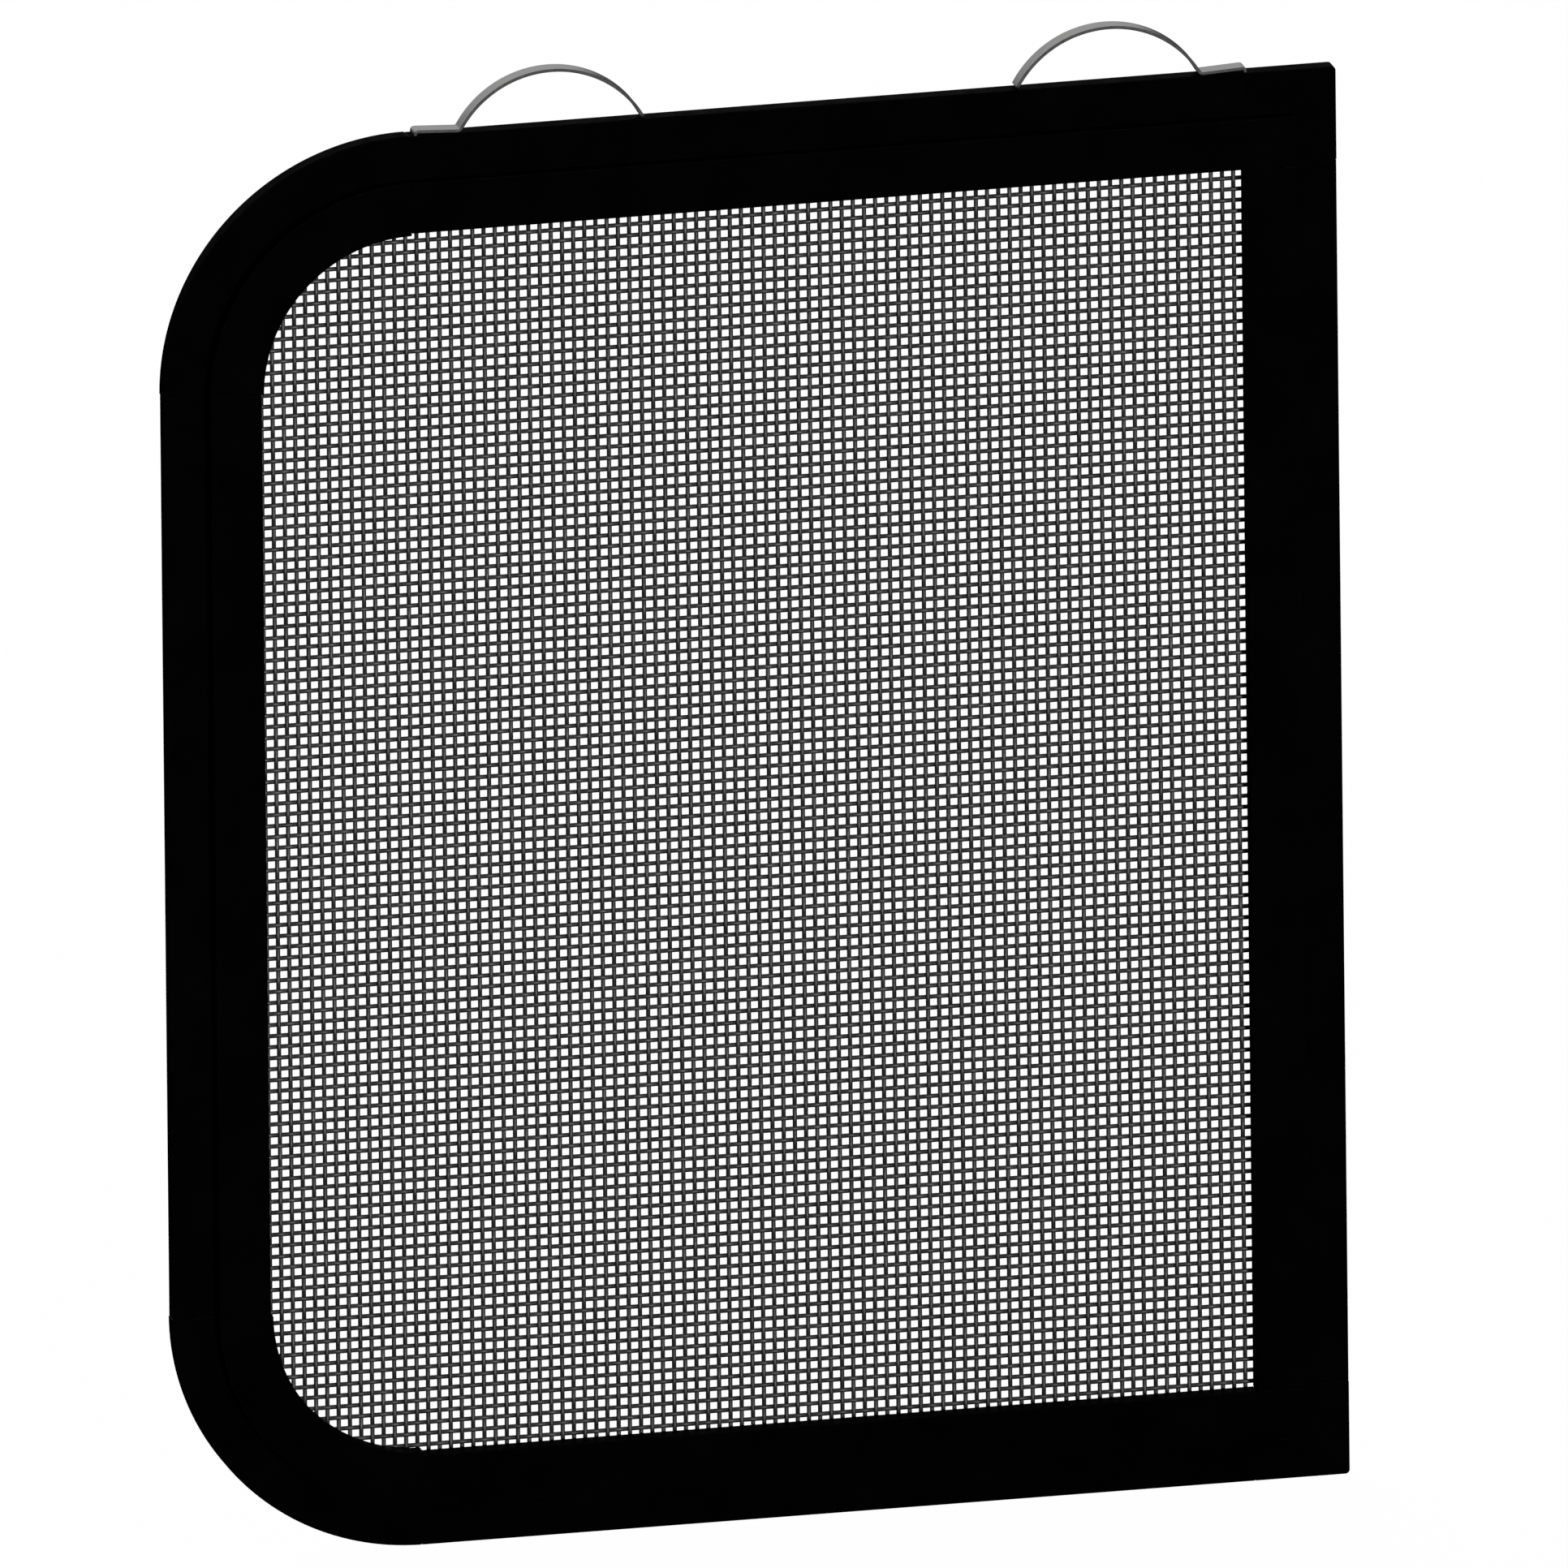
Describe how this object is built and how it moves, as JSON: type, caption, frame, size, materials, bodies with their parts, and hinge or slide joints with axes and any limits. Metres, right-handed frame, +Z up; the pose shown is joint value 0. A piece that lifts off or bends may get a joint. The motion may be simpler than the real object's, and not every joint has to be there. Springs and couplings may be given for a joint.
{
  "type": "fireplace screen",
  "caption": "D-shaped insert fireplace screen: a stepped black frame holding a sheet of plain-woven wire, pressed into its opening by arched leaf springs on the top edge.",
  "frame": {"origin": "middle of the bottom edge, halfway between the front and back faces", "axes": "+X to the viewer's right across the width, -Y out of the front face towards the room, +Z up"},
  "size_m": [0.381, 0.0104, 0.4814],
  "materials": {
    "frame_paint": "black powder coat, satin",
    "wire": "dark grey drawn wire, satin",
    "spline_cord": "braided glass-fibre cord, charcoal",
    "spring_steel": "cold-rolled spring steel, satin",
    "rivet_steel": "blackened steel, satin"
  },
  "bodies": {
    "frame": {"top_rail": "frame_paint", "bottom_rail": "frame_paint", "left_rail": "frame_paint", "right_rail": "frame_paint", "top_left_elbow": "frame_paint", "bottom_left_elbow": "frame_paint", "top_right_corner": "frame_paint", "bottom_right_corner": "frame_paint", "joint_rivet_1": "rivet_steel", "joint_rivet_2": "rivet_steel", "joint_rivet_3": "rivet_steel", "joint_rivet_4": "rivet_steel", "joint_rivet_5": "rivet_steel", "joint_rivet_6": "rivet_steel", "joint_rivet_7": "rivet_steel", "joint_rivet_8": "rivet_steel", "wire_mesh": "wire", "retaining_spline": "spline_cord"},
    "left_spring": {"left_leaf_spring": "spring_steel"},
    "right_spring": {"right_leaf_spring": "spring_steel"}
  },
  "joints": [
    {"name": "left_spring_press", "type": "slide", "parent": "frame", "child": "left_spring", "axis": [0, 0, -1], "range_m": [0, 0.012], "stiffness_N_per_m": 800, "deforming": ["left_leaf_spring"]},
    {"name": "right_spring_press", "type": "slide", "parent": "frame", "child": "right_spring", "axis": [0, 0, -1], "range_m": [0, 0.012], "stiffness_N_per_m": 800, "deforming": ["right_leaf_spring"]}
  ]
}
